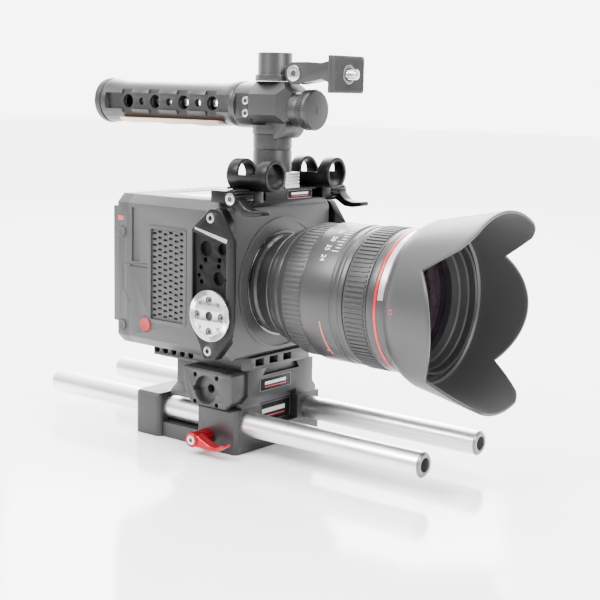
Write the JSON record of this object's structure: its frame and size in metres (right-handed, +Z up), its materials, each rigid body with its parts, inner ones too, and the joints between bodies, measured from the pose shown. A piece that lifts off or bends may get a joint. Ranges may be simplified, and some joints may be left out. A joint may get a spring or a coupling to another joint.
{
  "type": "cinema camera rig",
  "caption": "Box-shaped cinema camera with zoom lens and petal hood on a rod baseplate, with cage side plates, toothed discs, top rod clamps and a top handle with a tilting monitor arm.",
  "frame": {"origin": "mouth of the tripod thread, in the underside of the rod baseplate", "axes": "+X out of the lens, +Y to the camera's left, +Z up"},
  "size_m": [0.332, 0.1188, 0.2438],
  "materials": {
    "body_grey": "satin powder coat",
    "base_grey": "satin anodised grey",
    "black_anodised": "semi-gloss black anodised",
    "rod_silver": "satin",
    "rosette_silver": "bright machined",
    "screw_steel": "bright",
    "rubber_grip": "matt ribbed",
    "lens_metal": "satin",
    "hood_plastic": "satin",
    "red_enamel": "gloss",
    "red_anodised": "semi-gloss anodised",
    "red_button": "satin",
    "grey_button": "satin",
    "glass": "coated",
    "display": "gloss",
    "electronics": "matt",
    "dark_plastic": "matt",
    "mount_steel": "bright",
    "wood": "oiled",
    "ribbed_silver": "satin"
  },
  "bodies": {
    "rig": {"base_body": "base_grey", "riser_block": "base_grey", "side_boss": "base_grey", "camera_plate": "base_grey", "base_screws": "screw_steel", "lever_screws": "screw_steel", "camera_shell": "body_grey", "front_housing": "body_grey", "rear_housing": "body_grey", "vent_grille": "body_grey", "port_panel": "dark_plastic", "top_display": "display", "lens_mount_ring": "mount_steel", "sensor_module": "electronics", "main_board": "electronics", "cooling_fan": "dark_plastic", "lens_adapter": "lens_metal", "lens_barrel": "lens_metal", "rear_glass": "glass", "iris_unit": "dark_plastic", "cage_plate_right": "black_anodised", "cage_plate_left": "black_anodised", "rosette_right": "rosette_silver", "rosette_left": "rosette_silver", "cage_screws": "screw_steel", "top_bar": "black_anodised", "top_screws": "screw_steel", "top_clamp_right": "black_anodised", "top_clamp_left": "black_anodised", "ribbed_block": "ribbed_silver", "handle_stem": "base_grey", "handle_block": "base_grey", "handle_tube": "base_grey", "handle_end_cap": "base_grey", "wood_grip": "wood"},
    "rod_right": {"rod_right": "rod_silver"},
    "rod_left": {"rod_left": "rod_silver"},
    "base_lever": {"base_lever": "red_anodised"},
    "top_lever_right": {"top_lever_right": "black_anodised"},
    "top_lever_left": {"top_lever_left": "black_anodised"},
    "rec_button": {"rec_button": "red_button"},
    "power_button": {"power_button": "grey_button"},
    "user_button": {"user_button": "grey_button"},
    "battery_pack": {"battery_pack": "dark_plastic"},
    "focus_ring": {"focus_ring": "lens_metal", "focus_grip": "rubber_grip"},
    "zoom_ring": {"zoom_ring": "lens_metal", "zoom_grip": "rubber_grip"},
    "front_barrel": {"front_barrel": "lens_metal", "red_ring": "red_enamel", "front_glass": "glass"},
    "lens_hood": {"lens_hood": "hood_plastic"},
    "focus_switch": {"focus_switch": "dark_plastic"},
    "stabiliser_switch": {"stabiliser_switch": "dark_plastic"},
    "front_knob": {"front_knob": "base_grey"},
    "swivel_post": {"swivel_post": "base_grey", "arm_pin": "screw_steel"},
    "monitor_arm": {"monitor_arm": "base_grey", "arm_pad": "dark_plastic"},
    "pad_stud": {"pad_stud": "screw_steel"}
  },
  "joints": [
    {"name": "rod_right_slide", "type": "slide", "parent": "rig", "child": "rod_right", "axis": [1, 0, 0], "range_m": [-0.12, 0.08]},
    {"name": "rod_left_slide", "type": "slide", "parent": "rig", "child": "rod_left", "axis": [1, 0, 0], "range_m": [-0.12, 0.08]},
    {"name": "base_lever_turn", "type": "hinge", "parent": "rig", "child": "base_lever", "pos_m": [0.0215, -0.05, 0.0092], "axis": [0, 1, 0], "range_deg": [-110, 0]},
    {"name": "top_lever_right_turn", "type": "hinge", "parent": "rig", "child": "top_lever_right", "pos_m": [0.0475, -0.046, 0.1582], "axis": [0, 1, 0], "range_deg": [-140, 0]},
    {"name": "top_lever_left_turn", "type": "hinge", "parent": "rig", "child": "top_lever_left", "pos_m": [0.0475, 0.046, 0.1582], "axis": [0, 1, 0], "range_deg": [-140, 0]},
    {"name": "rec_press", "type": "slide", "parent": "rig", "child": "rec_button", "axis": [0, 1, 0], "range_m": [0, 0.0008], "stiffness_N_per_m": 400},
    {"name": "power_press", "type": "slide", "parent": "rig", "child": "power_button", "axis": [0, 1, 0], "range_m": [0, 0.0008], "stiffness_N_per_m": 400},
    {"name": "user_press", "type": "slide", "parent": "rig", "child": "user_button", "axis": [0, 1, 0], "range_m": [0, 0.0008], "stiffness_N_per_m": 400},
    {"name": "battery_slide", "type": "slide", "parent": "rig", "child": "battery_pack", "axis": [-1, 0, 0], "range_m": [0, 0.04]},
    {"name": "focus_turn", "type": "hinge", "parent": "rig", "child": "focus_ring", "pos_m": [0.083, 0, 0.103], "axis": [1, 0, 0], "range_deg": [0, 130]},
    {"name": "zoom_turn", "type": "hinge", "parent": "rig", "child": "zoom_ring", "pos_m": [0.129, 0, 0.103], "axis": [1, 0, 0], "range_deg": [0, 60]},
    {"name": "zoom_extension", "type": "slide", "parent": "rig", "child": "front_barrel", "axis": [1, 0, 0], "range_m": [0, 0.0239]},
    {"name": "hood_turn", "type": "hinge", "parent": "front_barrel", "child": "lens_hood", "pos_m": [0.153, 0, 0.103], "axis": [1, 0, 0], "range_deg": [0, 60]},
    {"name": "focus_switch_slide", "type": "slide", "parent": "rig", "child": "focus_switch", "axis": [1, 0, 0], "range_m": [0, 0.003]},
    {"name": "stabiliser_switch_slide", "type": "slide", "parent": "rig", "child": "stabiliser_switch", "axis": [1, 0, 0], "range_m": [0, 0.003]},
    {"name": "front_knob_turn", "type": "hinge", "parent": "rig", "child": "front_knob", "pos_m": [0.0645, 0, 0.21], "axis": [1, 0, 0], "continuous": true},
    {"name": "post_swivel", "type": "hinge", "parent": "rig", "child": "swivel_post", "pos_m": [0.0353, 0, 0.235], "axis": [0, 0, 1], "range_deg": [-90, 90]},
    {"name": "arm_tilt", "type": "hinge", "parent": "swivel_post", "child": "monitor_arm", "pos_m": [0.0554, 0, 0.2316], "axis": [0, 1, 0], "range_deg": [-95, 6]},
    {"name": "stud_turn", "type": "hinge", "parent": "monitor_arm", "child": "pad_stud", "pos_m": [0.09, 0, 0.2312], "axis": [1, 0, 0], "continuous": true}
  ],
  "couplings": [
    {"joint": "zoom_turn", "follows": "zoom_extension", "rad_per_m": 43.668}
  ]
}
